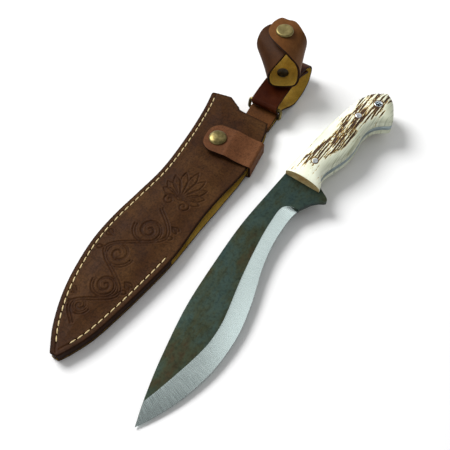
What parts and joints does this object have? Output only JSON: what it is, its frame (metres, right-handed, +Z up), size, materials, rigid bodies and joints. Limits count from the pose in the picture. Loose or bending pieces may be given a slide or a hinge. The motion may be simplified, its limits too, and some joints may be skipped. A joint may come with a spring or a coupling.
{
  "type": "knife with sheath",
  "caption": "Kukri-pattern knife with a full tang and stag antler scales, beside its tooled leather belt sheath with snap strap, swinging belt loop and handle keeper.",
  "frame": {"origin": "centre of the footprint of the knife and sheath together, on the table", "axes": "+X along the sheath from its toe to its throat, +Y from the knife towards the sheath, +Z up from the table"},
  "size_m": [0.3705, 0.1616, 0.0652],
  "materials": {
    "steel": "forge-dark flats, satin ground edge",
    "antler": "polished ivory belly, dark brown bark grooves on the crown",
    "pin_metal": "polished nickel silver",
    "panel_leather": "dark brown tooled leather, burnished edges",
    "back_leather": "brown leather, tan flesh side",
    "welt_leather": "burnished edge",
    "strap_leather": "warm brown leather",
    "loop_leather": "dark brown glossy leather, olive tan flesh side",
    "thread": "waxed cream thread",
    "antique_brass": "antiqued brass",
    "spring_steel": "bright wire"
  },
  "bodies": {
    "sheath": {"front_panel": "panel_leather", "back_panel": "back_leather", "spine_welt": "welt_leather", "edge_welt": "welt_leather", "spine_stitching": "thread", "edge_stitching": "thread", "closure_strap": "strap_leather", "closure_rivets": "antique_brass", "closure_stud": "antique_brass", "closure_post": "antique_brass", "tab_rivets": "antique_brass"},
    "knife": {"blade": "steel", "upper_scale": "antler", "lower_scale": "antler", "front_pin": "pin_metal", "middle_pin": "pin_metal", "lanyard_tube": "pin_metal"},
    "closure": {"closure_flap": "strap_leather", "closure_cap": "antique_brass", "closure_socket": "antique_brass", "closure_spring": "spring_steel"},
    "ring": {"hanger_ring": "antique_brass"},
    "loop": {"belt_loop": "loop_leather", "keeper_rivet": "antique_brass", "keeper_burr": "antique_brass"},
    "keeper": {"keeper_strap": "loop_leather", "keeper_stud": "antique_brass", "keeper_post": "antique_brass"},
    "keeper_top": {"keeper_flap": "loop_leather", "keeper_cap": "antique_brass", "keeper_socket": "antique_brass", "keeper_spring": "spring_steel"}
  },
  "joints": [
    {"name": "knife_lift", "type": "slide", "parent": "sheath", "child": "knife", "axis": [0, 0, 1], "range_m": [0, 0.15]},
    {"name": "closure_open", "type": "hinge", "parent": "sheath", "child": "closure", "pos_m": [0.06259, 0.00743, 0.01459], "axis": [0.9945, 0.1041, 0.01], "range_deg": [0, 120]},
    {"name": "ring_swing", "type": "hinge", "parent": "sheath", "child": "ring", "pos_m": [0.11496, 0.0292, 0.00712], "axis": [0, -1, 0], "range_deg": [0, 40]},
    {"name": "loop_swing", "type": "hinge", "parent": "ring", "child": "loop", "pos_m": [0.1174, 0.0292, 0.0164], "axis": [0, -1, 0], "range_deg": [-15, 30]},
    {"name": "keeper_turn", "type": "hinge", "parent": "loop", "child": "keeper", "pos_m": [0.15133, 0.03094, 0.024], "axis": [0, 0, 1], "range_deg": [-60, 60]},
    {"name": "keeper_open", "type": "hinge", "parent": "keeper", "child": "keeper_top", "pos_m": [0.16251, 0.01994, 0.04872], "axis": [0.9785, 0.178, 0.1044], "range_deg": [0, 110]}
  ]
}
